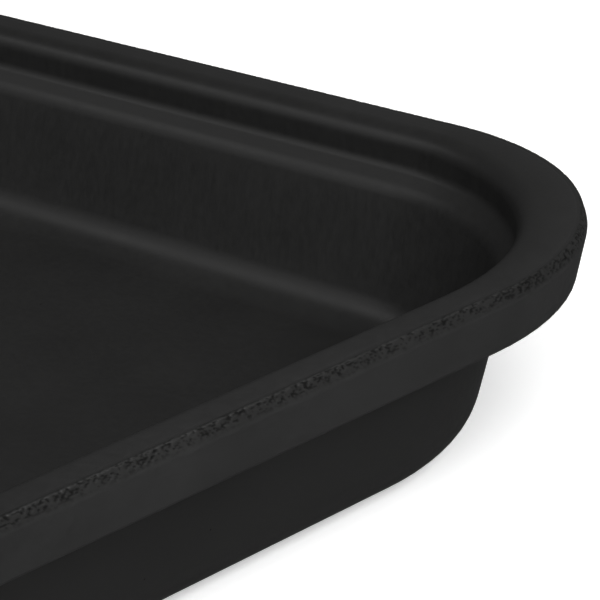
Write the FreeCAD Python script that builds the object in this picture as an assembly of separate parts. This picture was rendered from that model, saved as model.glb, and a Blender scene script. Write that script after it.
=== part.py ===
import FreeCAD, Part
import math
import os

# Deli food pan: one shallow rectangular moulding, full counter size, millimetres.
# +X runs along the length, +Y along the width, +Z up. The origin is the middle of the
# underside, which the pan stands on.
#
# The section is drawn with "inset", the distance in from the outermost face of the rim,
# and "height" above the underside. Every level of the pan is a rectangle with round
# corners at one inset and one height.
#
# The real pan is one moulding. It is drawn whole, and then parted into three zones that
# meet face to face: the rim with its skirt, the wall with the shoulder and the floor's
# radius, and the flat floor. Each zone is simple enough for its collision to be true.

# Overall sizes
LENGTH = 530.0              # along X, over the rim
WIDTH = 325.0               # along Y, over the rim
HEIGHT = 51.0               # from the underside to the top of the rim

# Wall
WALL = 3.0                  # one thickness for walls, shoulder and rim
FLOOR_THICKNESS = 5.0
WALL_DRAFT = 15.2           # degrees from upright, of the long slope down to the floor
FLOOR_RADIUS_OUTSIDE = 14.0
FLOOR_RADIUS_INSIDE = 10.6
BASIN_CORNER_CENTRE = 88.0  # inset of the corner centre that basin and shoulder share

# Rim
RIM_CORNER_RADIUS = 80.0    # at the outermost face
RIM_LAND = 7.2              # from the outermost face to where the top turns down inside
RIM_INNER_RADIUS = 5.0      # the turn from the rim's top into the basin
ARRIS_WIDTH = 0.9           # bevel where the moulding line was dressed off, seen from above
ARRIS_HEIGHT = 3.0          # the same bevel, seen from the side
SKIRT_HEIGHT = 14.5         # from the top of the rim to the foot of the turned-down skirt
SKIRT_DRAFT = 12.85         # degrees from upright, the foot being further in
SKIRT_FOOT_OUTER_RADIUS = 1.6
SKIRT_FOOT_INNER_RADIUS = 1.0
CHANNEL_RADIUS = 2.0        # the corners of the channel under the rim

# Shoulder, the sloping step below the rim
UPPER_WALL_DRAFT = 2.0      # degrees from upright, of the short wall above the shoulder
SHOULDER_DEPTH = 9.3        # from the top of the rim to the top of the shoulder
SHOULDER_WIDTH = 4.25       # how far in the shoulder brings the wall
SHOULDER_SLOPE = 45.0       # degrees from level
SHOULDER_HOLLOW_RADIUS = 3.6
SHOULDER_CROWN_RADIUS = 8.0

LEVEL_TOLERANCE = 1e-4


class SectionLine:
    """A straight line of the section: a point, and the angle down from level going in."""

    def __init__(self, inset, height, slope):
        self.inset = inset
        self.height = height
        self.slope = math.radians(slope)

    def inset_at(self, height):
        """Return the inset where the line passes a height."""
        return self.inset + (self.height - height) / math.tan(self.slope)

    def height_at(self, inset):
        """Return the height where the line passes an inset."""
        return self.height - (inset - self.inset) * math.tan(self.slope)

    def offset(self, thickness):
        """Return the parallel line one thickness away, on the outside of the wall."""
        inset = self.inset - thickness * math.sin(self.slope)
        height = self.height - thickness * math.cos(self.slope)
        return SectionLine(inset, height, math.degrees(self.slope))

    def meet(self, other):
        """Return the inset and height where two lines cross."""
        fall = math.tan(self.slope)
        other_fall = math.tan(other.slope)
        start = self.height + self.inset * fall
        other_start = other.height + other.inset * other_fall
        inset = (start - other_start) / (fall - other_fall)
        return inset, self.height_at(inset)


def rounded_rectangle(inset, height, corner_centre):
    """Return a level wire: four straight sides joined by four quarter arcs."""
    half_x = LENGTH / 2 - inset
    half_y = WIDTH / 2 - inset
    radius = corner_centre - inset
    centre_x = half_x - radius
    centre_y = half_y - radius
    quarters = (
        (centre_x, centre_y, 0),
        (-centre_x, centre_y, 90),
        (-centre_x, -centre_y, 180),
        (centre_x, -centre_y, 270),
    )
    arcs = []
    for x, y, start in quarters:
        middle = FreeCAD.Vector(x, y, height)
        circle = Part.Circle(middle, FreeCAD.Vector(0, 0, 1), radius)
        arcs.append(circle.toShape(math.radians(start), math.radians(start + 90)))
    edges = []
    for number, arc in enumerate(arcs):
        following = arcs[(number + 1) % len(arcs)]
        edges.append(arc)
        edges.append(Part.makeLine(arc.lastVertex().Point, following.firstVertex().Point))
    return Part.Wire(edges)


def stack(levels, corner_centre):
    """Return the solid whose faces run straight from each level to the next one."""
    wires = [rounded_rectangle(inset, height, corner_centre) for inset, height in levels]
    return Part.makeLoft(wires, True, True)


def loop_at(shape, height, inset):
    """Return the edges that lie at one height and reach out to one inset, as a closed loop."""
    reach_x = LENGTH / 2 - inset
    reach_y = WIDTH / 2 - inset
    loop = []
    for edge in shape.Edges:
        box = edge.BoundBox
        level = abs(box.ZMin - height) < LEVEL_TOLERANCE and abs(box.ZMax - height) < LEVEL_TOLERANCE
        at_end = abs(max(abs(box.XMin), abs(box.XMax)) - reach_x) < LEVEL_TOLERANCE
        at_side = abs(max(abs(box.YMin), abs(box.YMax)) - reach_y) < LEVEL_TOLERANCE
        if level and (at_end or at_side):
            loop.append(edge)
    return loop


def section_lines():
    """Return the basin's upper wall, shoulder and lower wall as lines of the inner face."""
    upper = SectionLine(RIM_LAND + RIM_INNER_RADIUS, HEIGHT, 90 - UPPER_WALL_DRAFT)
    top_height = HEIGHT - SHOULDER_DEPTH
    shoulder = SectionLine(upper.inset_at(top_height), top_height, SHOULDER_SLOPE)
    foot_inset = shoulder.inset + SHOULDER_WIDTH
    lower = SectionLine(foot_inset, shoulder.height_at(foot_inset), 90 - WALL_DRAFT)
    return upper, shoulder, lower


def round_levels(shape, levels):
    """Return the shape with a fillet round it at each (inset, height, radius)."""
    for inset, height, radius in levels:
        shape = shape.makeFillet(radius, loop_at(shape, height, inset))
    return shape


def make_basin():
    """Return the hollow that the food goes in, as a solid."""
    upper, shoulder, lower = section_lines()
    hollow = upper.meet(shoulder)
    crown = shoulder.meet(lower)
    floor = (lower.inset_at(FLOOR_THICKNESS), FLOOR_THICKNESS)
    basin = stack((floor, crown, hollow, (upper.inset, upper.height)), BASIN_CORNER_CENTRE)
    return round_levels(basin, (
        (*floor, FLOOR_RADIUS_INSIDE),
        (*crown, SHOULDER_CROWN_RADIUS),
        (*hollow, SHOULDER_HOLLOW_RADIUS),
    ))


def make_body():
    """Return the block inside the pan's outer wall, from the underside up to the rim."""
    upper, shoulder, lower = [line.offset(WALL) for line in section_lines()]
    hollow = upper.meet(shoulder)
    crown = shoulder.meet(lower)
    foot = (lower.inset_at(0), 0)
    roof = (upper.inset_at(HEIGHT - WALL / 2), HEIGHT - WALL / 2)
    body = stack((foot, crown, hollow, roof), BASIN_CORNER_CENTRE)
    return round_levels(body, (
        (*foot, FLOOR_RADIUS_OUTSIDE),
        (*crown, SHOULDER_CROWN_RADIUS - WALL * (1 - 1 / 2)),
        (*hollow, SHOULDER_HOLLOW_RADIUS + WALL),
    ))


def make_rim(body):
    """Return the rim: a flat top, the dressed arris, and the skirt round an open channel."""
    foot_height = HEIGHT - SKIRT_HEIGHT
    roof_height = HEIGHT - WALL
    skirt_face = SectionLine(0, HEIGHT - ARRIS_HEIGHT, 90 - SKIRT_DRAFT)
    foot = (skirt_face.inset_at(foot_height), foot_height)
    block = stack((foot, (0, HEIGHT - ARRIS_HEIGHT), (ARRIS_WIDTH, HEIGHT)), RIM_CORNER_RADIUS)
    across = WALL / math.cos(math.radians(SKIRT_DRAFT))
    inside_foot = (foot[0] + across, foot_height)
    inside_roof = (skirt_face.inset_at(roof_height) + across, roof_height)
    channel = stack((inside_foot, inside_roof), RIM_CORNER_RADIUS)
    channel = round_levels(channel, ((*inside_roof, CHANNEL_RADIUS),))
    ring = block.cut(channel.cut(body))
    return round_levels(ring, (
        (*foot, SKIRT_FOOT_OUTER_RADIUS),
        (*inside_foot, SKIRT_FOOT_INNER_RADIUS),
    ))


def make_moulding():
    """Return the whole moulding: body and rim as one, with the basin sunk into it."""
    body = make_body()
    whole = body.fuse(make_rim(body)).removeSplitter()
    upper_line = section_lines()[0]
    pan = whole.cut(make_basin())
    mouth = loop_at(pan, HEIGHT, upper_line.inset)
    return pan.makeFillet(RIM_INNER_RADIUS, mouth)


def part_zones(moulding):
    """Return the rim, wall and floor of the moulding, which meet face to face."""
    upper, shoulder, lower = section_lines()
    half_turn = math.radians(90 - WALL_DRAFT) / 2
    flat_inset = lower.inset_at(FLOOR_THICKNESS) + FLOOR_RADIUS_INSIDE * math.tan(half_turn)
    bend_turn = math.radians(90 - UPPER_WALL_DRAFT - SHOULDER_SLOPE) / 2
    bend_top = shoulder.height + SHOULDER_HOLLOW_RADIUS * math.tan(bend_turn)
    channel_middle = (upper.inset - WALL + WALL / math.cos(math.radians(SKIRT_DRAFT))) / 2
    plug = stack(((flat_inset, -WALL), (flat_inset, HEIGHT)), BASIN_CORNER_CENTRE)
    below_rim = stack(((channel_middle, -WALL), (channel_middle, bend_top)), RIM_CORNER_RADIUS)
    surround = moulding.cut(plug)
    return {
        "pan_rim": surround.cut(below_rim),
        "pan_wall": surround.common(below_rim),
        "pan_floor": moulding.common(plug),
    }


def main():
    os.makedirs("parts", exist_ok=True)
    for name, shape in part_zones(make_moulding()).items():
        shape.exportStep(os.path.join("parts", name + ".step"))
        box = shape.BoundBox
        print(name, shape.ShapeType, "valid", shape.isValid(), "solids", len(shape.Solids))
        print("volume", round(shape.Volume / 1000, 1), "cm3", "height", box.ZMin, "to", box.ZMax)


main()
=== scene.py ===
"""Deli food pan: one semi-gloss black moulding on a pale studio floor.

The pan is drawn as one continuous skin. A section (inset from the rim's outermost face,
and height above the underside) is carried round the plan, so that every row of the mesh
is a rectangle with round corners. Lengths are in metres, in the frame's own axes.
"""

import logging
import math
from dataclasses import dataclass, field
from enum import Enum
from typing import Any, Sequence, Union

import bpy
import numpy as np
from mathutils import Matrix, Vector


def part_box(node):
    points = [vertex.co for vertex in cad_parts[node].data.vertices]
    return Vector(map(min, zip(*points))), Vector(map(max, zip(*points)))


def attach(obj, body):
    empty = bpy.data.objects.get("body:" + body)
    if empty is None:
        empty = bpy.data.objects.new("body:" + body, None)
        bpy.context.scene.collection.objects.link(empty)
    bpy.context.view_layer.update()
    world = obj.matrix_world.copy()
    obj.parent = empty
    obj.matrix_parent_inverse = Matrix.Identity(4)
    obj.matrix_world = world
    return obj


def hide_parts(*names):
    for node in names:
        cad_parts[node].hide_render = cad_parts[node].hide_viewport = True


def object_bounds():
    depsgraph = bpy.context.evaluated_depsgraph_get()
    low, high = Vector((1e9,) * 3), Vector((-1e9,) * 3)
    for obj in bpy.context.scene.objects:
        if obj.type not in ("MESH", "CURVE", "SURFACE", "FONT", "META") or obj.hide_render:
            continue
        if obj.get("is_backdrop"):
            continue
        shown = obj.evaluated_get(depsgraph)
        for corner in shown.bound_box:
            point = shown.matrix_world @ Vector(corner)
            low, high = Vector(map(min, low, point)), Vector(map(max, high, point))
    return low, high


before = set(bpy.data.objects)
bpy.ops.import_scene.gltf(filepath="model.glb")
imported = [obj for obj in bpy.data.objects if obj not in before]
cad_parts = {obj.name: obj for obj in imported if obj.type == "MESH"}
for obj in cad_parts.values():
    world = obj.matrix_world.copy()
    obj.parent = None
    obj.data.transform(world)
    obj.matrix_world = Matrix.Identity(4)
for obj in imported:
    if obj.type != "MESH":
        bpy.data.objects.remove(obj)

LOG = logging.getLogger("food_pan")
MM = 0.001
ZONES = ("pan_rim", "pan_wall", "pan_floor")
EVEN = (1.0, 1.0, 1.0)
FLAT = 0.2 * MM

Value = Union[float, int, "Wire"]
Points = np.ndarray


# ---------------------------------------------------------------------------
# Shader expressions
# ---------------------------------------------------------------------------


class Wire:
    """A node output that can be used in a Python expression.

    Each operator adds one Math node to the same tree.
    """

    def __init__(self, graph: "Graph", socket: bpy.types.NodeSocket) -> None:
        """Keep the graph and the output socket that this wire comes from."""
        self.graph = graph
        self.socket = socket

    def _maths(self, operation: str, first: Value, second: Value) -> "Wire":
        """Add one Math node.

        Args:
            operation: the Math node's operation.
            first: the value or wire of the first socket.
            second: the value or wire of the second socket.

        Returns:
            The node's result.
        """
        return self.graph.add("ShaderNodeMath", {"operation": operation}, {0: first, 1: second})

    def __add__(self, other: Value) -> "Wire":
        """Return self + other."""
        return self._maths("ADD", self, other)

    def __radd__(self, other: Value) -> "Wire":
        """Return other + self."""
        return self._maths("ADD", other, self)

    def __sub__(self, other: Value) -> "Wire":
        """Return self - other."""
        return self._maths("SUBTRACT", self, other)

    def __rsub__(self, other: Value) -> "Wire":
        """Return other - self."""
        return self._maths("SUBTRACT", other, self)

    def __mul__(self, other: Value) -> "Wire":
        """Return self * other."""
        return self._maths("MULTIPLY", self, other)

    def __rmul__(self, other: Value) -> "Wire":
        """Return other * self."""
        return self._maths("MULTIPLY", other, self)


@dataclass(frozen=True)
class Noise:
    """Fractal noise.

    Attributes:
        scale: its scale, which is finer as it rises.
        detail: how many finer layers it has.
        rough: how strong each finer layer is beside the one before.
    """

    scale: float
    detail: float
    rough: float = 0.5


class Graph:
    """The node tree of one material or world, built by expressions."""

    def __init__(self, tree: bpy.types.NodeTree) -> None:
        """Empty the tree and keep it."""
        self.tree = tree
        self.tree.nodes.clear()

    def add(
        self,
        kind: str,
        settings: dict[str, Any] | None = None,
        sockets: dict[Union[int, str], Any] | None = None,
        output: Union[int, str] = 0,
    ) -> Wire:
        """Add any node: its settings are set first, then its sockets.

        Args:
            kind: the node's type.
            settings: attributes of the node; "stops" holds a ramp's (place, grey) pairs.
            sockets: values, or wires to link, by socket name or number.
            output: which output the returned wire leaves from.

        Returns:
            The wire from the chosen output.
        """
        node = self.tree.nodes.new(kind)
        for name, value in (settings or {}).items():
            if name == "stops":
                self._set_stops(node.color_ramp, value)
            else:
                setattr(node, name, value)
        for key, value in (sockets or {}).items():
            if isinstance(value, Wire):
                self.tree.links.new(value.socket, node.inputs[key])
            else:
                node.inputs[key].default_value = value
        return Wire(self, node.outputs[output])

    @staticmethod
    def _set_stops(ramp: bpy.types.ColorRamp, stops: Sequence[tuple[float, float]]) -> None:
        """Give a ramp its grey stops, in rising order of place."""
        while len(ramp.elements) < len(stops):
            ramp.elements.new(1.0)
        for element, (place, grey) in zip(ramp.elements, stops):
            element.position = place
            element.color = (grey, grey, grey, 1.0)

    def attribute(self, name: str) -> Wire:
        """Return the value of a mesh attribute."""
        return self.add("ShaderNodeAttribute", {"attribute_name": name}, output="Fac")

    def place(self, scale: Sequence[float]) -> Wire:
        """Return Object coordinates, scaled along each axis."""
        where = self.add("ShaderNodeTexCoord", output="Object")
        return self.add("ShaderNodeMapping", {}, {"Vector": where, "Scale": tuple(scale)})

    def noise(self, where: Wire, noise: Noise) -> Wire:
        """Return fractal noise from 0 to 1."""
        sockets = {
            "Vector": where,
            "Scale": noise.scale,
            "Detail": noise.detail,
            "Roughness": noise.rough,
        }
        return self.add("ShaderNodeTexNoise", {"noise_dimensions": "3D"}, sockets)

    def ramp(self, value: Wire, stops: Sequence[tuple[float, float]]) -> Wire:
        """Return a value passed through grey stops."""
        return self.add("ShaderNodeValToRGB", {"stops": stops}, {"Fac": value})

    def tint(self, amount: Wire, low: Sequence[float], high: Sequence[float]) -> Wire:
        """Return the colour between low and high at an amount from 0 to 1."""
        settings = {"data_type": "RGBA", "blend_type": "MIX"}
        sockets = {0: amount, 6: (*low, 1.0), 7: (*high, 1.0)}
        return self.add("ShaderNodeMix", settings, sockets, output=2)

    def blend(self, amount: Wire, first: Wire, second: Wire) -> Wire:
        """Return the colour between two colour wires at an amount from 0 to 1."""
        settings = {"data_type": "RGBA", "blend_type": "MIX"}
        return self.add("ShaderNodeMix", settings, {0: amount, 6: first, 7: second}, output=2)

    def relief(
        self, height: Wire, depth: float, strength: float, under: Wire | None = None
    ) -> Wire:
        """Return a normal bent by a height map of a depth in metres."""
        sockets: dict[Union[int, str], Any] = {
            "Height": height,
            "Distance": depth,
            "Strength": strength,
        }
        if under is not None:
            sockets["Normal"] = under
        return self.add("ShaderNodeBump", {}, sockets)

    def finish(self, shader: Wire, kind: str = "ShaderNodeOutputMaterial") -> None:
        """Link a shader to a new output node of a kind."""
        node = self.tree.nodes.new(kind)
        self.tree.links.new(shader.socket, node.inputs["Surface"])


class Feature(Enum):
    """Mesh attributes that the finish reads."""

    PORE = "pore"
    UPRIGHT = "upright"
    # The rim's lighter shade: painted light on its top and skirt, and scuffing.
    HANDLED_AND_LIT = "handled_and_lit"


# ---------------------------------------------------------------------------
# Finishes
# ---------------------------------------------------------------------------


@dataclass(frozen=True)
class BlackMoulding:
    """Semi-gloss black plastic, lightened at the rim by painted light and scuffing, with
    painted shade in pores.

    Attributes:
        shade_low: the darker of the two shades that the plastic is mottled with.
        shade_high: the lighter of them.
        scuffed_and_lit_low: the darker shade of the rim's top and skirt, lightened by painted
            light and scuffing.
        scuffed_and_lit_high: the lighter of them.
        pore_dirt_and_shade: the dark colour inside pores and pinholes: painted shade, with dirt
            in the pores.
        roughness: the plastic's middle roughness.
        roughness_spread: how much rougher its light mottles are than its dark ones.
        streak_gloss: how much the draw marks change the roughness.
        handled_gloss: how much rougher the worn rim's top and skirt are.
        index: its index of refraction.
        specular: the strength of its reflection.
        pore_roughness: the roughness inside pores.
        pore_specular: the strength of reflection inside pores, low for the painted shade and
            dirt.
        pore_cover: how much of a pore the dark shader of painted shade and dirt takes up.
        pinhole_cover: the same for a pinhole, where the dark shader is painted shade alone.
        clouds: the slow clouds of shade.
        fine: the fine mottling.
        grain: the skin's grain.
        streaks: the draw marks, across their length.
        streak_squeeze: their scale along their length, as a share of that.
        streak_weight: how much they shift the shade, where clouds and mottling share 1.
        mottle_range: the noise values that give the darkest and the lightest shade.
        fine_share: the share of fine mottling in the relief, the rest being grain.
        grain_depth: depth of the fine skin texture.
        grain_strength: strength of the fine skin texture.
        streak_depth: depth of the upright draw marks.
        streak_strength: strength of the upright draw marks.
        pinhole_cells: pinholes to the metre along each axis.
        pinhole_size: radius of a pinhole.
        pinhole_core: the share of that radius that is quite dark.
    """

    shade_low: tuple[float, float, float] = (0.0114, 0.0114, 0.0112)
    shade_high: tuple[float, float, float] = (0.0148, 0.0148, 0.0145)
    scuffed_and_lit_low: tuple[float, float, float] = (0.0140, 0.0140, 0.0139)
    scuffed_and_lit_high: tuple[float, float, float] = (0.0196, 0.0196, 0.0195)
    pore_dirt_and_shade: tuple[float, float, float] = (0.0020, 0.0020, 0.0019)
    roughness: float = 0.40
    roughness_spread: float = 0.09
    streak_gloss: float = 0.09
    handled_gloss: float = 0.03
    index: float = 1.5
    specular: float = 0.36
    pore_roughness: float = 0.7
    pore_specular: float = 0.06
    pore_cover: float = 0.78
    pinhole_cover: float = 0.8
    clouds: Noise = Noise(30.0, detail=3.0, rough=0.6)
    fine: Noise = Noise(560.0, detail=4.0, rough=0.65)
    grain: Noise = Noise(2300.0, detail=2.0)
    streaks: Noise = Noise(620.0, detail=4.0, rough=0.7)
    streak_squeeze: float = 0.14
    streak_weight: float = 0.6
    mottle_range: tuple[float, float] = (0.34, 0.66)
    fine_share: float = 0.6
    grain_depth: float = 0.03 * MM
    grain_strength: float = 0.45
    streak_depth: float = 0.025 * MM
    streak_strength: float = 0.5
    pinhole_cells: float = 95.0
    pinhole_size: float = 0.27 * MM
    pinhole_core: float = 0.6

    def material(self) -> bpy.types.Material:
        """Build the finish.

        Returns:
            The material: colour and gloss are mottled by cloud noise, upright streaks lie
            on the walls, the "handled" attribute lightens the rim's top and skirt with painted
            light as well as scuffing, and the "pore" attribute and scattered pinholes bring in
            a dark dull shader, which paints the shade in them and the dirt in the pores.
        """
        material = bpy.data.materials.new("black_moulding")
        material.use_nodes = True
        graph = Graph(material.node_tree)
        handled_and_lit = graph.attribute(Feature.HANDLED_AND_LIT.value)
        fine = graph.noise(graph.place(EVEN), self.fine)
        streaked = self._streaks(graph)
        mottle = self._mottle(graph, fine, streaked)
        plain = graph.tint(mottle, self.shade_low, self.shade_high)
        # Painted light: the rim's top and skirt take a lighter shade for the light that falls
        # on them, along with their scuffing.
        scuffed_and_lit = graph.tint(mottle, self.scuffed_and_lit_low, self.scuffed_and_lit_high)
        gloss = self.roughness + (mottle - 0.5) * self.roughness_spread
        gloss = gloss + streaked * self.streak_gloss + handled_and_lit * self.handled_gloss
        skin = {
            "Base Color": graph.blend(handled_and_lit, plain, scuffed_and_lit),
            "Roughness": gloss,
            "IOR": self.index,
            "Specular IOR Level": self.specular,
            "Normal": self._relief(graph, fine, streaked),
        }
        # Painted shade: shallow pores and uncut pinholes take this dark dull shader for the
        # shade in a hole, with dirt in the pores.
        pit_shade_inputs = {
            "Base Color": (*self.pore_dirt_and_shade, 1.0),
            "Roughness": self.pore_roughness,
            "Specular IOR Level": self.pore_specular,
        }
        surface = graph.add("ShaderNodeBsdfPrincipled", {}, skin)
        pit_shade_shader = graph.add("ShaderNodeBsdfPrincipled", {}, pit_shade_inputs)
        sockets = {0: self._holes(graph), 1: surface, 2: pit_shade_shader}
        graph.finish(graph.add("ShaderNodeMixShader", {}, sockets))
        return material

    def _streaks(self, graph: Graph) -> Wire:
        """Return the draw marks, above and below 0 on upright walls and 0 on flats."""
        where = graph.place((1.0, 1.0, self.streak_squeeze))
        streaks = graph.noise(where, self.streaks)
        return (streaks - 0.5) * graph.attribute(Feature.UPRIGHT.value)

    def _mottle(self, graph: Graph, fine: Wire, streaked: Wire) -> Wire:
        """Return how light the plastic is, from 0 to 1: clouds, mottling and streaks."""
        clouds = graph.noise(graph.place(EVEN), self.clouds)
        darkest, lightest = self.mottle_range
        mixed = clouds * 0.5 + fine * 0.5 + streaked * self.streak_weight
        return graph.ramp(mixed, ((darkest, 0.0), (lightest, 1.0)))

    def _relief(self, graph: Graph, fine: Wire, streaked: Wire) -> Wire:
        """Return the normal bent by the skin's grain and then by the draw marks."""
        grain = graph.noise(graph.place(EVEN), self.grain)
        skin = fine * self.fine_share + grain * (1 - self.fine_share)
        normal = graph.relief(skin, self.grain_depth, self.grain_strength)
        return graph.relief(streaked, self.streak_depth, self.streak_strength, normal)

    def _holes(self, graph: Graph) -> Wire:
        """Return 1 inside pores and pinholes and 0 elsewhere.

        A pinhole is the small ball round a scattered point, where it meets the surface.
        The mesh has no hole there: the dark shader paints the shade that a hole would hold.
        """
        where = graph.place(EVEN)
        sockets = {"Vector": where, "Scale": self.pinhole_cells, "Randomness": 1.0}
        kind, settings = "ShaderNodeTexVoronoi", {"feature": "F1"}
        nearest = graph.add(kind, settings, sockets, output="Distance")
        size = self.pinhole_size * self.pinhole_cells
        pinhole = graph.ramp(nearest, ((size * self.pinhole_core, 1.0), (size, 0.0)))
        pore = graph.attribute(Feature.PORE.value)
        sockets = {0: pinhole * self.pinhole_cover, 1: pore * self.pore_cover}
        return graph.add("ShaderNodeMath", {"operation": "MAXIMUM"}, sockets)


@dataclass(frozen=True)
class PaleFloor:
    """A matt near-white studio floor.

    Attributes:
        shade: its lighter shade.
        cloudiness: how much of that its clouds take away.
        clouds: the clouds' noise.
        roughness: its roughness.
        specular: the strength of its reflection.
        glow: light of its own, which keeps it white far from the lights.
    """

    shade: tuple[float, float, float] = (0.84, 0.84, 0.84)
    cloudiness: float = 0.01
    clouds: Noise = Noise(3.0, detail=2.0)
    roughness: float = 0.9
    specular: float = 0.1
    glow: float = 0.4

    def material(self) -> bpy.types.Material:
        """Build the finish: a barely clouded white, so that it isn't dead flat."""
        material = bpy.data.materials.new("pale_floor")
        material.use_nodes = True
        graph = Graph(material.node_tree)
        clouds = graph.noise(graph.place(EVEN), self.clouds)
        low = tuple(channel * (1 - self.cloudiness) for channel in self.shade)
        colour = graph.tint(clouds, low, self.shade)
        sockets = {
            "Base Color": colour,
            "Roughness": self.roughness,
            "Specular IOR Level": self.specular,
            "Emission Color": (1.0, 1.0, 1.0, 1.0),
            "Emission Strength": self.glow,
        }
        graph.finish(graph.add("ShaderNodeBsdfPrincipled", {}, sockets))
        return material


# ---------------------------------------------------------------------------
# The section
# ---------------------------------------------------------------------------


@dataclass(frozen=True)
class Turn:
    """One corner of the section, before it is rounded.

    Attributes:
        inset: distance in from the rim's outermost face.
        height: height above the underside.
        radius: radius of the rounding.
        steps: how many chords the rounding has.
        centre: inset of the plan's corner centre at this level.
    """

    inset: float
    height: float
    radius: float
    steps: int
    centre: float


@dataclass
class Section:
    """The pan's section, worked out from its design sizes.

    Attributes:
        height: height of the rim's top above the underside.
        floor: height of the basin's floor.
        foot_height: height of the skirt's foot.
        wall: thickness of the walls, the shoulder and the rim.
        wall_draft: lean of the long wall from upright.
        upper_draft: lean of the short wall above the shoulder.
        skirt_draft: lean of the skirt, its foot being further in.
        floor_radius_outside: radius from the outer wall to the underside.
        floor_radius_inside: radius from the inner wall to the floor.
        basin_centre: inset of the corner centre that basin and shoulder share.
        rim_centre: inset of the rim's corner centre.
        rim_land: from the outermost face to where the top turns down inside.
        rim_inner_radius: radius of that turn.
        arris_width: the dressed bevel, seen from above.
        arris_height: the same bevel, seen from the side.
        shoulder_depth: from the rim's top to the top of the shoulder.
        shoulder_width: how far in the shoulder brings the wall.
        shoulder_slope: lean of the shoulder.
        shoulder_crown_radius: radius at the shoulder's lower end.
        shoulder_hollow_radius: radius at its upper end.
        skirt_foot_outer_radius: radius outside the skirt's foot.
        skirt_foot_inner_radius: radius inside the skirt's foot.
        channel_radius: radius in the channel, where the skirt meets the rim.
        neck_radius: radius in the channel, where the wall meets the rim.
    """

    height: float
    floor: float
    foot_height: float
    wall: float = 3.0 * MM
    wall_draft: float = math.radians(15.2)
    upper_draft: float = math.radians(2.0)
    skirt_draft: float = math.radians(12.85)
    floor_radius_outside: float = 14.0 * MM
    floor_radius_inside: float = 10.6 * MM
    basin_centre: float = 88.0 * MM
    rim_centre: float = 80.0 * MM
    rim_land: float = 7.2 * MM
    rim_inner_radius: float = 5.0 * MM
    arris_width: float = 0.9 * MM
    arris_height: float = 3.0 * MM
    shoulder_depth: float = 9.3 * MM
    shoulder_width: float = 4.25 * MM
    shoulder_slope: float = math.radians(45.0)
    shoulder_crown_radius: float = 8.0 * MM
    shoulder_hollow_radius: float = 3.6 * MM
    skirt_foot_outer_radius: float = 1.6 * MM
    skirt_foot_inner_radius: float = 1.0 * MM
    channel_radius: float = 2.0 * MM
    neck_radius: float = 0.8 * MM

    def inner_turns(self) -> list[Turn]:
        """Return the turns of the face that food touches, from the floor up to the rim."""
        top = self.height
        centre = self.basin_centre
        mouth = self.rim_land + self.rim_inner_radius
        hollow_height = top - self.shoulder_depth
        hollow = mouth + self.shoulder_depth * math.tan(self.upper_draft)
        crown = hollow + self.shoulder_width
        crown_height = hollow_height - self.shoulder_width * math.tan(self.shoulder_slope)
        floor = crown + (crown_height - self.floor) * math.tan(self.wall_draft)
        return [
            Turn(floor, self.floor, self.floor_radius_inside, 14, centre),
            Turn(crown, crown_height, self.shoulder_crown_radius, 9, centre),
            Turn(hollow, hollow_height, self.shoulder_hollow_radius, 9, centre),
            Turn(mouth, top, self.rim_inner_radius, 14, centre),
        ]

    def outer_turns(self) -> list[Turn]:
        """Return the turns from the arris down the skirt, up the channel, and under."""
        top = self.height
        rim = self.rim_centre
        basin = self.basin_centre
        skirt_fall = top - self.arris_height - self.foot_height
        foot = skirt_fall * math.tan(self.skirt_draft)
        across = self.wall / math.cos(self.skirt_draft)
        roof = top - self.wall
        roof_outer = (top - self.arris_height - roof) * math.tan(self.skirt_draft) + across
        floor, _, hollow, mouth = self.inner_turns()
        neck = mouth.inset - self.wall
        outer_hollow, outer_crown, outer_floor = self._outer_wall(floor, hollow)
        hollow_radius = self.shoulder_hollow_radius + self.wall
        crown_radius = self.shoulder_crown_radius - self.wall / 2
        return [
            Turn(foot, self.foot_height, self.skirt_foot_outer_radius, 6, rim),
            Turn(foot + across, self.foot_height, self.skirt_foot_inner_radius, 4, rim),
            Turn(roof_outer, roof, self.channel_radius, 5, rim),
            Turn(neck, roof, self.neck_radius, 4, basin),
            Turn(*outer_hollow, hollow_radius, 6, basin),
            Turn(*outer_crown, crown_radius, 5, basin),
            Turn(*outer_floor, self.floor_radius_outside, 12, basin),
        ]

    def _outer_wall(self, floor: Turn, hollow: Turn) -> tuple[tuple[float, float], ...]:
        """Return the outer wall's three corners, where its three lines cross.

        Each line lies one wall thickness outside the inner one. The shoulder's line has
        an even sum of inset and height, because it leans half way.

        Args:
            floor: the inner turn at the floor.
            hollow: the inner turn at the shoulder's upper end.

        Returns:
            Inset and height of the hollow, the crown and the foot of the outer wall.
        """
        neck_shift = self.wall / math.cos(self.upper_draft)
        wall_shift = self.wall / math.cos(self.wall_draft)
        fall = math.tan(self.upper_draft)
        run = math.tan(self.wall_draft)
        slope_sum = hollow.inset + hollow.height - self.wall / math.cos(self.shoulder_slope)
        neck_foot = hollow.inset - neck_shift + hollow.height * fall
        hollow_height = (slope_sum - neck_foot) / (1 - fall)
        wall_foot = floor.inset - wall_shift + floor.height * run
        crown_height = (slope_sum - wall_foot) / (1 - run)
        return (
            (slope_sum - hollow_height, hollow_height),
            (slope_sum - crown_height, crown_height),
            (wall_foot, 0.0),
        )

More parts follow.
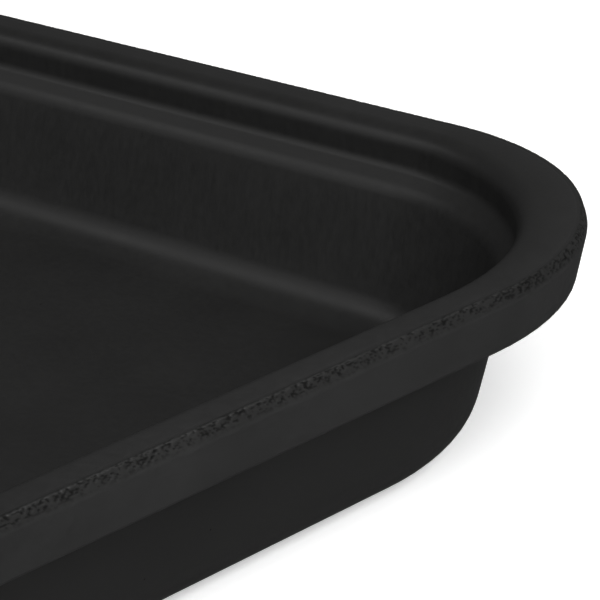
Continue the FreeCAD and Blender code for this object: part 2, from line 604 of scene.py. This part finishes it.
    @staticmethod
    def rounded(turns: Sequence[Turn], start: Turn, end: Turn) -> Points:
        """Round the turns of a broken line with tangent arcs.

        At each corner the arc's centre lies on the bisector, radius / sin(half angle) from
        the corner, and its points are the start and end spokes blended by sines, which
        keeps them on the circle.

        Args:
            turns: the corners to round.
            start: the point the line comes from.
            end: the point the line goes to.

        Returns:
            Rows of inset, height and corner centre.
        """
        line = [start, *turns, end]
        rows = []
        for before, turn, after in zip(line, line[1:], line[2:]):
            corner = np.array((turn.inset, turn.height))
            back = np.array((before.inset, before.height)) - corner
            ahead = np.array((after.inset, after.height)) - corner
            back /= np.linalg.norm(back)
            ahead /= np.linalg.norm(ahead)
            half = math.acos(float(np.clip(back @ ahead, -1.0, 1.0))) / 2
            bisector = (back + ahead) / np.linalg.norm(back + ahead)
            middle = corner + bisector * turn.radius / math.sin(half)
            reach = turn.radius / math.tan(half)
            first = corner + back * reach - middle
            last = corner + ahead * reach - middle
            swing = math.pi - 2 * half
            share = np.linspace(0.0, 1.0, turn.steps + 1)[:, None]
            spokes = (np.sin((1 - share) * swing) * first + np.sin(share * swing) * last)
            arc = middle + spokes / math.sin(swing)
            rows.append(np.column_stack((arc, np.full(len(arc), turn.centre))))
        return np.vstack(rows)


# ---------------------------------------------------------------------------
# The skin
# ---------------------------------------------------------------------------


@dataclass
class PlanLoop:
    """Places round the pan, shared by every row of the skin.

    Attributes:
        half_length: half the overall length.
        half_width: half the overall width.
        corner_steps: chords in each round corner.
        long_steps: chords along each long side.
        short_steps: chords along each short side.
    """

    half_length: float
    half_width: float
    corner_steps: int = 22
    long_steps: int = 44
    short_steps: int = 28

    def row(self, inset: Points, centre: Points, finer: int = 1) -> Points:
        """Place rows round the pan.

        A place is a corner centre plus (centre - inset) times a unit direction. On a side
        the direction is square to it and the corner centre slides from one corner to the
        next, and in a corner the direction turns through a quarter circle.

        Args:
            inset: the inset of each row, one per row or one per row and place.
            centre: the corner centre's inset, one per row.
            finer: how many times finer than the plain loop the places are.

        Returns:
            Array of rows by places by (x, y).
        """
        direction, slide = self._directions(finer)
        centre = np.asarray(centre)[:, None]
        inset = np.asarray(inset)
        inset = inset[:, None] if inset.ndim == 1 else inset
        reach = centre - inset
        x = slide[None, :, 0] * (self.half_length - centre) + reach * direction[None, :, 0]
        y = slide[None, :, 1] * (self.half_width - centre) + reach * direction[None, :, 1]
        return np.stack((x, y), axis=-1)

    def _directions(self, finer: int) -> tuple[Points, Points]:
        """Return each place's outward direction and its signed share of the corner centre."""
        corner = np.arange(self.corner_steps * finer) / (self.corner_steps * finer)
        directions, slides = [], []
        quarter = math.pi / 2
        signs = ((1, 1), (-1, 1), (-1, -1), (1, -1))
        for number, sign in enumerate(signs):
            angle = (number + corner) * quarter
            directions.append(np.column_stack((np.cos(angle), np.sin(angle))))
            slides.append(np.tile(np.array(sign, float), (len(corner), 1)))
            steps = (self.long_steps if number % 2 == 0 else self.short_steps) * finer
            share = (np.arange(steps) / steps)[:, None]
            facing = (number + 1) * quarter
            side = np.array((math.cos(facing), math.sin(facing)))
            following = np.array(signs[(number + 1) % 4], float)
            directions.append(np.tile(side, (steps, 1)))
            slides.append(np.array(sign, float) * (1 - share) + following * share)
        return np.vstack(directions), np.vstack(slides)


@dataclass(frozen=True)
class Unevenness:
    """Smooth noise of about unit size, the same on every run.

    Attributes:
        waves: how many waves are added.
        shortest: the shortest wave length.
        longest: the longest wave length.
        seed: seed of the random draws.
        squeeze: how many times shorter the waves are upright than along the level.
    """

    waves: int
    shortest: float
    longest: float
    seed: int
    squeeze: float = 1.0

    def at(self, places: Points) -> Points:
        """Work out the noise.

        It is the sum of plane cosine waves with random directions, phases and lengths,
        over the root of half their number.

        Args:
            places: array whose last axis is (x, y, z).

        Returns:
            The noise at each place.
        """
        draw = np.random.default_rng(self.seed)
        ways = draw.normal(size=(self.waves, 3))
        ways /= np.linalg.norm(ways, axis=1)[:, None]
        spread = draw.uniform(math.log(self.shortest), math.log(self.longest), self.waves)
        phases = draw.uniform(0, 2 * math.pi, self.waves)
        steps = (ways / np.exp(spread)[:, None]).T * 2 * math.pi
        turns = places * (1, 1, self.squeeze) @ steps + phases
        return np.cos(turns).sum(axis=-1) / math.sqrt(self.waves / 2)


@dataclass
class PanSkin:
    """The pan's whole surface, as one closed mesh.

    Attributes:
        section: the section that is carried round the plan.
        loop: the places round the plan.
        finer: how much finer the dressed arris is than the rest.
        pit_depth: depth of the pores in the dressed arris.
        pitted_height: how far down the arris the pores reach.
        groove_inset: inset of the fine groove beside the arris.
        groove_width: half the groove's width.
        groove_depth: the groove's depth.
        arris_edge_radius: rounding of the arris at the rim's top.
        arris_heel_radius: rounding of the arris at its foot.
        arris_rows: fine rows down the arris, between its two roundings.
        arris_drop: how far under the arris the plainer rows begin.
        groove_rows: rows across the groove.
        skirt_rows: rows down the skirt, between its ends.
        wall_rows: rows down each long wall, between its ends.
        patch_rings: rings between the middle of a flat and its edge.
        beyond: how far a flat runs on past its first turn, which sets its direction.
        outer_streaks: how strongly the outer faces show draw marks.
        coarse: unevenness that opens the large pores.
        small: unevenness that opens the small ones.
        bunched: slow unevenness that bunches pores along the rim.
        pore_weights: how much coarse, small and bunched unevenness count.
        pore_threshold: the weighted sum at which a pore opens.
        band: where the pores start and end down the arris, and how sharply they rise and
            fall there, as shares of pitted_height.
        waver: how far the floor wanders up and down, as moulded faces do.
        sway: the unevenness that it wanders by.
        wear_and_light_inset: inset up to which the rim's top takes the lighter shade of painted
            light and wear.
        wear_and_light_fade: width over which that lighter shade fades out before that.
        foot_fade: height over which it fades in below the skirt's foot.
        skirt_inset: inset up to which faces under the rim belong to the skirt.
        dressed_inset: inset up to which the arris counts as dressed.
        dressed_wear_and_light: how much of that lighter shade the dressed arris takes.
    """

    section: Section
    loop: PlanLoop
    finer: int = 19
    pit_depth: float = 0.13 * MM
    pitted_height: float = 2.3 * MM
    groove_inset: float = 2.2 * MM
    groove_width: float = 0.45 * MM
    groove_depth: float = 0.07 * MM
    arris_edge_radius: float = 0.55 * MM
    arris_heel_radius: float = 2.2 * MM
    arris_rows: int = 6
    arris_drop: float = 1.6 * MM
    groove_rows: int = 7
    skirt_rows: int = 3
    wall_rows: int = 4
    patch_rings: int = 12
    beyond: float = 40.0 * MM
    outer_streaks: float = 0.25
    coarse: Unevenness = Unevenness(48, 1.2 * MM, 4.5 * MM, seed=11, squeeze=2.6)
    small: Unevenness = Unevenness(48, 0.75 * MM, 1.7 * MM, seed=23, squeeze=2.8)
    bunched: Unevenness = Unevenness(9, 14.0 * MM, 90.0 * MM, seed=5)
    pore_weights: tuple[float, float, float] = (0.6, 0.75, 0.25)
    pore_threshold: float = 0.1
    band: tuple[float, float, float, float] = (0.5, 1.2, 9.0, 2.2)
    waver: float = 0.06 * MM
    sway: Unevenness = Unevenness(14, 45.0 * MM, 220.0 * MM, seed=3)
    wear_and_light_inset: float = 9.5 * MM
    wear_and_light_fade: float = 2.5 * MM
    foot_fade: float = 1.0 * MM
    skirt_inset: float = 4.2 * MM
    dressed_inset: float = 1.6 * MM
    dressed_wear_and_light: float = 0.15
    vertices: list[Points] = field(default_factory=list)
    faces: list[list[int]] = field(default_factory=list)
    pores: list[Points] = field(default_factory=list)
    upright: list[Points] = field(default_factory=list)
    handled_and_lit: list[Points] = field(default_factory=list)

    def build(self) -> bpy.types.Object:
        """Build the mesh and its object.

        Returns:
            The pan, with the attributes that its finish reads.
        """
        inner = self._inner_rows()
        outer = self._outer_rows()
        centre_in = self._add_point(self.section.floor)
        patch_in = self._add_patch(inner[0], rising=True)
        rows_in = self._add_rows(inner)
        rows_arris = self._add_arris(self._arris_rows())
        rows_out = self._add_rows(outer, self.outer_streaks)
        patch_out = self._add_patch(outer[-1], rising=False)
        centre_out = self._add_point(0.0)
        self._fan(centre_in, patch_in[0], inward=False)
        self._strips([*patch_in, *rows_in])
        self._widen(rows_in[-1], rows_arris[0])
        self._strips(rows_arris)
        self._narrow(rows_arris[-1], rows_out[0])
        self._strips([*rows_out, *patch_out])
        self._fan(centre_out, patch_out[-1], inward=True)
        return self._object()

    def _inner_rows(self) -> Points:
        """Return rows of inset, height and corner centre, from the floor past the groove.

        The groove is one wave of a cosine, cut down into the flat top of the rim.
        """
        section = self.section
        turns = section.inner_turns()
        inside = turns[0].inset + self.beyond
        start = Turn(inside, section.floor, 0, 1, section.basin_centre)
        end = Turn(0.0, section.height, 0, 1, section.basin_centre)
        rows = Section.rounded(turns, start, end)
        wall_foot = turns[0].steps
        share = np.linspace(1.0, -1.0, self.groove_rows)
        groove = np.column_stack((
            self.groove_inset + share * self.groove_width,
            section.height - self.groove_depth * (0.5 + 0.5 * np.cos(share * math.pi)),
            np.full(self.groove_rows, section.rim_centre),
        ))
        wall = self._between(rows, wall_foot, self.wall_rows)
        return np.vstack((rows[:wall_foot + 1], wall, rows[wall_foot + 1:], groove))

    @staticmethod
    def _between(rows: Points, index: int, count: int) -> Points:
        """Return evenly spaced rows between a row and the one after it."""
        share = np.linspace(0.0, 1.0, count + 2)[1:-1, None]
        return rows[index] * (1 - share) + rows[index + 1] * share

    def _arris_rows(self) -> Points:
        """Return the fine rows of the dressed arris, from the land's edge down."""
        section = self.section
        top = section.height
        centre = section.rim_centre
        edge = Turn(section.arris_width, top, self.arris_edge_radius, 3, centre)
        heel = Turn(0.0, top - section.arris_height, self.arris_heel_radius, 2, centre)
        start = Turn(section.rim_land, top, 0, 1, centre)
        foot = section.outer_turns()[0]
        rounded = Section.rounded((edge, heel), start, foot)
        bevel = self._between(rounded, edge.steps, self.arris_rows)
        return np.vstack((rounded[:edge.steps + 1], bevel, rounded[edge.steps + 1:]))

    def _outer_rows(self) -> Points:
        """Return rows from under the arris, round skirt and channel, to the underside."""
        section = self.section
        turns = section.outer_turns()
        heel = section.height - section.arris_height
        start = Turn(0.0, heel, 0, 1, section.rim_centre)
        last = turns[-1]
        end = Turn(last.inset + self.beyond, 0.0, 0, 1, section.basin_centre)
        rounded = Section.rounded(turns, start, end)
        drop = self.arris_drop
        below = (drop * math.tan(section.skirt_draft), heel - drop, section.rim_centre)
        rows = np.vstack((np.array([below]), rounded))
        wall_top = len(rows) - last.steps - 2
        skirt = self._between(rows, 0, self.skirt_rows)
        wall = self._between(rows, wall_top, self.wall_rows)
        return np.vstack((rows[:1], skirt, rows[1:wall_top + 1], wall, rows[wall_top + 1:]))

    def _add_point(self, height: float) -> int:
        """Add one vertex in the middle of the plan and return its number."""
        number = sum(len(block) for block in self.vertices)
        self.vertices.append(np.array([[0.0, 0.0, height]]))
        self.pores.append(np.zeros(1))
        self.upright.append(np.zeros(1))
        self.handled_and_lit.append(np.zeros(1))
        return number

    def _add_rows(self, rows: Points, streaked: float = 1.0) -> list[Points]:
        """Add plain rows of vertices round the pan.

        Args:
            rows: inset, height and corner centre of each row.
            streaked: how strongly upright faces show draw marks.

        Returns:
            The vertex numbers of each row.
        """
        places = self.loop.row(rows[:, 0], rows[:, 2])
        height = np.repeat(rows[:, 1][:, None], places.shape[1], axis=1)
        rise, run = np.gradient(rows[:, 1]), np.gradient(rows[:, 0])
        slope = np.abs(rise) / np.maximum(np.hypot(rise, run), 1e-9)
        upright = np.repeat(slope[:, None] ** 2, places.shape[1], axis=1) * streaked
        block = np.concatenate((places, height[:, :, None]), axis=2)
        return self._store(block, np.zeros_like(height), upright)

    def _add_arris(self, rows: Points) -> list[Points]:
        """Add the fine rows of the arris, with its pores cut in.

        A pore opens where noise passes a threshold. The noise is squeezed upright, so
        that a pore is longer along the rim than down it, and a slower noise bunches the
        pores. They are cut square to the bevel, and fade out at its top and lower down.

        Args:
            rows: inset, height and corner centre of each row.

        Returns:
            The vertex numbers of each row.
        """
        section = self.section
        places = self.loop.row(rows[:, 0], rows[:, 2], self.finer)
        inset = np.repeat(rows[:, 0][:, None], places.shape[1], axis=1)
        height = np.repeat(rows[:, 1][:, None], places.shape[1], axis=1)
        block = np.concatenate((places, height[:, :, None]), axis=2)
        noises = (self.coarse.at(block), self.small.at(block), self.bunched.at(block))
        total = sum(weight * noise for weight, noise in zip(self.pore_weights, noises))
        down = (section.height - height) / self.pitted_height
        start, end, rise, fall = self.band
        band = np.clip(start + down * rise, 0.0, 1.0) * np.clip((end - down) * fall, 0.0, 1.0)
        pore = np.clip(total - self.pore_threshold, 0.0, 1.0) * band
        cut = self.pit_depth * pore
        lean = math.atan2(section.arris_width, section.arris_height)
        inset = inset + cut * math.cos(lean)
        height = height - cut * math.sin(lean)
        places = self.loop.row(inset, rows[:, 2], self.finer)
        block = np.concatenate((places, height[:, :, None]), axis=2)
        return self._store(block, pore, np.zeros_like(pore))

    def _store(self, block: Points, pores: Points, upright: Points) -> list[Points]:
        """Keep a block of rows by places by (x, y, z) and return its vertex numbers."""
        first = sum(len(part) for part in self.vertices)
        self.vertices.append(block.reshape(-1, 3))
        self.pores.append(pores.reshape(-1))
        self.upright.append(upright.reshape(-1))
        self.handled_and_lit.append(self._wear_and_light(block).reshape(-1))
        numbers = first + np.arange(block.shape[0] * block.shape[1])
        return list(numbers.reshape(block.shape[0], block.shape[1]))

    def _wear_and_light(self, block: Points) -> Points:
        """Return how much each vertex is lightened: 1 on the rim's top and skirt, 0 in the
        basin.

        It rises from the foot of the skirt, and falls off from the rim's outermost face
        towards the basin. The lighter shade is painted light on the lit top and skirt, as
        well as scuffing; faces under the rim take none.
        """
        section = self.section
        x, y, z = np.moveaxis(block, -1, 0)
        centre = section.rim_centre
        corner_x = np.maximum(np.abs(x) - (self.loop.half_length - centre), 0.0)
        corner_y = np.maximum(np.abs(y) - (self.loop.half_width - centre), 0.0)
        inset = centre - np.hypot(corner_x, corner_y)
        above = np.clip((z - section.foot_height) / self.foot_fade + 1.0, 0.0, 1.0)
        near = np.clip((self.wear_and_light_inset - inset) / self.wear_and_light_fade, 0.0, 1.0)
        under = (z < section.height - section.wall) & (inset > self.skirt_inset)
        dressed = (z > section.height - section.arris_height) & (inset < self.dressed_inset)
        # Painted light: the lit top and skirt are lightened, along with their scuffing.
        return above * np.where(under, 0.0, near) * np.where(dressed, self.dressed_wear_and_light, 1.0)

    def _add_patch(self, row: Points, rising: bool) -> list[Points]:
        """Add rings that shrink from the flat's edge towards the middle.

        Each ring is the edge ring drawn in towards the centre, in even steps.

        Args:
            row: inset, height and corner centre of the flat's edge.
            rising: whether the rings run outward from the middle, as the floor's do.

        Returns:
            The vertex numbers of each ring, in the order of the skin's rows.
        """
        edge = self.loop.row(row[None, 0], row[None, 2])[0]
        share = np.arange(1, self.patch_rings + 1) / (self.patch_rings + 1)
        share = share if rising else share[::-1]
        places = edge[None] * share[:, None, None]
        height = np.full((*places.shape[:2], 1), row[1])
        flat = np.zeros(places.shape[:2])
        return self._store(np.concatenate((places, height), axis=2), flat, flat)

    def _strips(self, rows: Sequence[Points]) -> None:
        """Join neighbouring rows of equal count with four-sided faces."""
        for low, high in zip(rows, rows[1:]):
            ring = (low, np.roll(low, -1), np.roll(high, -1), high)
            self.faces.extend(np.column_stack(ring).tolist())

    def _widen(self, plain: Points, fine: Points) -> None:
        """Join a plain row to a finer one, one many-sided face for each plain chord."""
        ring = (plain, np.roll(plain, -1), self._spans(fine)[:, ::-1])
        self.faces.extend(np.column_stack(ring).tolist())

    def _narrow(self, fine: Points, plain: Points) -> None:
        """Join a fine row to a plainer one, one many-sided face for each plain chord."""
        ring = (self._spans(fine), np.roll(plain, -1), plain)
        self.faces.extend(np.column_stack(ring).tolist())

    def _spans(self, fine: Points) -> Points:
        """Return the fine vertices over each plain chord, both ends included."""
        spans = fine.reshape(-1, self.finer)
        return np.column_stack((spans, np.roll(spans[:, 0], -1)))

    def _fan(self, centre: int, ring: Points, inward: bool) -> None:
        """Close a ring to its middle vertex with triangles."""
        following = np.roll(ring, -1)
        middle = np.full(len(ring), centre)
        order = (ring, following, middle) if inward else (following, ring, middle)
        self.faces.extend(np.column_stack(order).tolist())

    def _object(self) -> bpy.types.Object:
        """Put the mesh together, let its floor wander slightly, and smooth its shading."""
        places = np.vstack(self.vertices)
        inside = np.abs(places[:, 2] - self.section.floor) < FLAT
        places[:, 2] += np.where(inside, self.waver * self.sway.at(places), 0.0)
        mesh = bpy.data.meshes.new("pan_moulding")
        mesh.from_pydata(places, [], self.faces)
        mesh.polygons.foreach_set("use_smooth", np.ones(len(mesh.polygons), bool))
        columns = (
            (Feature.PORE, self.pores),
            (Feature.UPRIGHT, self.upright),
            (Feature.HANDLED_AND_LIT, self.handled_and_lit),
        )
        for feature, values in columns:
            layer = mesh.attributes.new(feature.value, "FLOAT", "POINT")
            layer.data.foreach_set("value", np.concatenate(values).astype(np.float32))
        mesh.update()
        pan = bpy.data.objects.new("pan_moulding", mesh)
        bpy.context.scene.collection.objects.link(pan)
        return pan


@dataclass
class FoodPan:
    """The pan: its skin, its finish, and its place in the frame."""

    finish: BlackMoulding = field(default_factory=BlackMoulding)

    def build(self) -> bpy.types.Object:
        """Build the pan from the frame's own boxes and dress it."""
        low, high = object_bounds()
        section = Section(
            height=high.z - low.z,
            floor=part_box("pan_floor")[1][2],
            foot_height=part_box("pan_rim")[0][2],
        )
        loop = PlanLoop((high.x - low.x) / 2, (high.y - low.y) / 2)
        pan = PanSkin(section, loop).build()
        pan.data.materials.append(self.finish.material())
        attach(pan, "root")
        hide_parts(*ZONES)
        return pan


# ---------------------------------------------------------------------------
# The studio
# ---------------------------------------------------------------------------


def direction(azimuth: float, elevation: float) -> Vector:
    """Return the unit vector at degrees from +X towards +Y and degrees over the level."""
    turn, lift = math.radians(azimuth), math.radians(elevation)
    level = math.cos(lift)
    return Vector((math.cos(turn) * level, math.sin(turn) * level, math.sin(lift)))


@dataclass(frozen=True)
class SoftBox:
    """A soft light.

    Attributes:
        name: the light's name.
        azimuth: the side it stands on, in degrees from +X towards +Y.
        elevation: how high it stands over the pan, in degrees; below 0 it stands under it.
        distance: how far it stands from the point that it faces.
        size: its width and height.
        power: its power in watts.
        aim: the point that it faces and is placed from.
    """

    name: str
    azimuth: float
    elevation: float
    distance: float
    size: tuple[float, float]
    power: float
    aim: tuple[float, float, float] = (0.10, 0.14, 0.04)

    def build(self) -> bpy.types.Object:
        """Add the light, facing its aim."""
        light = bpy.data.lights.new(self.name, "AREA")
        light.shape = "RECTANGLE"
        light.size, light.size_y = self.size
        light.energy = self.power
        away = direction(self.azimuth, self.elevation)
        lamp = bpy.data.objects.new(self.name, light)
        lamp.location = Vector(self.aim) + away * self.distance
        lamp.rotation_euler = away.to_track_quat("Z", "Y").to_euler()
        bpy.context.scene.collection.objects.link(lamp)
        return lamp


@dataclass(frozen=True)
class Viewpoint:
    """The camera: where it looks, from which side, and how it is turned.

    Attributes:
        aim: the point on the level of the rim's top that the view is centred on.
        distance: from the aim to the camera.
        azimuth: degrees that the camera stands round from the pan's front, towards +X.
        elevation: degrees above the horizon.
        roll: degrees that the camera is turned about its own axis.
        lens: focal length in millimetres.
        sensor: the sensor's width in millimetres.
        clip: the nearest and the farthest distance that the camera shows.
    """

    aim: tuple[float, float]
    distance: float
    azimuth: float
    elevation: float
    roll: float
    lens: float
    sensor: float = 36.0
    clip: tuple[float, float] = (0.02, 60.0)

    def build(self, level: float) -> bpy.types.Object:
        """Add the camera.

        Args:
            level: the height that the camera is aimed at.

        Returns:
            The camera, which is also made the scene's own.
        """
        back = direction(self.azimuth - 90.0, self.elevation)
        data = bpy.data.cameras.new("camera")
        data.lens = self.lens
        data.sensor_width = self.sensor
        data.clip_start, data.clip_end = self.clip
        camera = bpy.data.objects.new("camera", data)
        level_turn = (-back).to_track_quat("-Z", "Y").to_matrix().to_4x4()
        roll = Matrix.Rotation(math.radians(self.roll), 4, "Z")
        place = Matrix.Translation(Vector((*self.aim, level)) + back * self.distance)
        camera.matrix_world = place @ level_turn @ roll
        bpy.context.scene.collection.objects.link(camera)
        bpy.context.scene.camera = camera
        return camera


@dataclass
class Studio:
    """The plain floor, the soft lights, the surrounding grey and the camera.

    Attributes:
        floor_spread: how many times larger the floor is than its opening.
        opening_inset: inset of the opening, from the outermost face of the rim.
        opening_centre: inset of the opening's corner centre.
        surround: strength of the grey that surrounds the scene.
        floor: the floor's finish.
        lights: the soft lights.
        viewpoint: the camera.
    """

    floor_spread: float = 70.0
    opening_inset: float = 35.2 * MM
    opening_centre: float = 88.0 * MM
    surround: float = 0.07
    floor: PaleFloor = field(default_factory=PaleFloor)
    lights: tuple[SoftBox, ...] = (
        SoftBox("left_strip", 215.5, 34.0, 1.5, (0.4, 0.4), 0.9),
        SoftBox("left_front", -120.0, 25.0, 2.0, (1.0, 1.0), 3.0),
        SoftBox("front", -46.0, 40.0, 2.2, (1.6, 1.6), 32.0),
        SoftBox("right", -8.0, 40.0, 2.2, (1.6, 1.6), 36.0),
        SoftBox("overhead", 55.0, 66.0, 3.0, (2.6, 2.6), 12.0),
        SoftBox("below", 230.0, -50.0, 2.0, (1.6, 1.6), 40.0),
    )
    viewpoint: Viewpoint = Viewpoint(
        aim=(0.2341, 0.0541),
        distance=0.6621,
        azimuth=43.71,
        elevation=21.15,
        roll=-2.33,
        lens=193.4,
    )

    def build(self, level: float) -> None:
        """Build the studio round the pan.

        Args:
            level: the height of the rim's top, which the camera is aimed at.
        """
        self._floor()
        for light in self.lights:
            light.build()
        self._world()
        self.viewpoint.build(level)
        view = bpy.context.scene.view_settings
        view.view_transform = "Standard"
        view.look = "None"

    def _floor(self) -> None:
        """Add the floor, plain and level, at the height that the pan stands on.

        It is open under the middle of the pan, where the pan covers it, so that the
        underside can be seen from below. Two rings of vertices are joined: the edge of
        the opening, and the same ring spread far out.
        """
        low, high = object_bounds()
        loop = PlanLoop((high.x - low.x) / 2, (high.y - low.y) / 2)
        edge = loop.row(np.array([self.opening_inset]), np.array([self.opening_centre]))[0]
        rings = np.concatenate((edge, edge * self.floor_spread))
        inner = np.arange(len(edge))
        outer = inner + len(edge)
        faces = np.column_stack((inner, outer, np.roll(outer, -1), np.roll(inner, -1)))
        mesh = bpy.data.meshes.new("studio_floor")
        mesh.from_pydata(np.pad(rings, ((0, 0), (0, 1))), [], faces.tolist())
        mesh.materials.append(self.floor.material())
        floor = bpy.data.objects.new("studio_floor", mesh)
        floor.visible_glossy = False
        bpy.context.scene.collection.objects.link(floor)
        floor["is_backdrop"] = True

    def _world(self) -> None:
        """Surround the scene with an even grey."""
        world = bpy.data.worlds.new("surround")
        world.use_nodes = True
        graph = Graph(world.node_tree)
        sockets = {"Color": (1.0, 1.0, 1.0, 1.0), "Strength": self.surround}
        graph.finish(graph.add("ShaderNodeBackground", {}, sockets), "ShaderNodeOutputWorld")
        world.cycles.sampling_method = "NONE"
        bpy.context.scene.world = world


def main() -> None:
    """Build the pan and its studio."""
    logging.basicConfig(level=logging.INFO, format="%(name)s: %(message)s")
    cad_box = [list(corner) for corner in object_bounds()]
    pan = FoodPan().build()
    mesh = pan.data
    LOG.info("%s: %d vertices, %d faces", pan.name, len(mesh.vertices), len(mesh.polygons))
    Studio().build(cad_box[1][2])


if __name__ == "__main__":
    main()
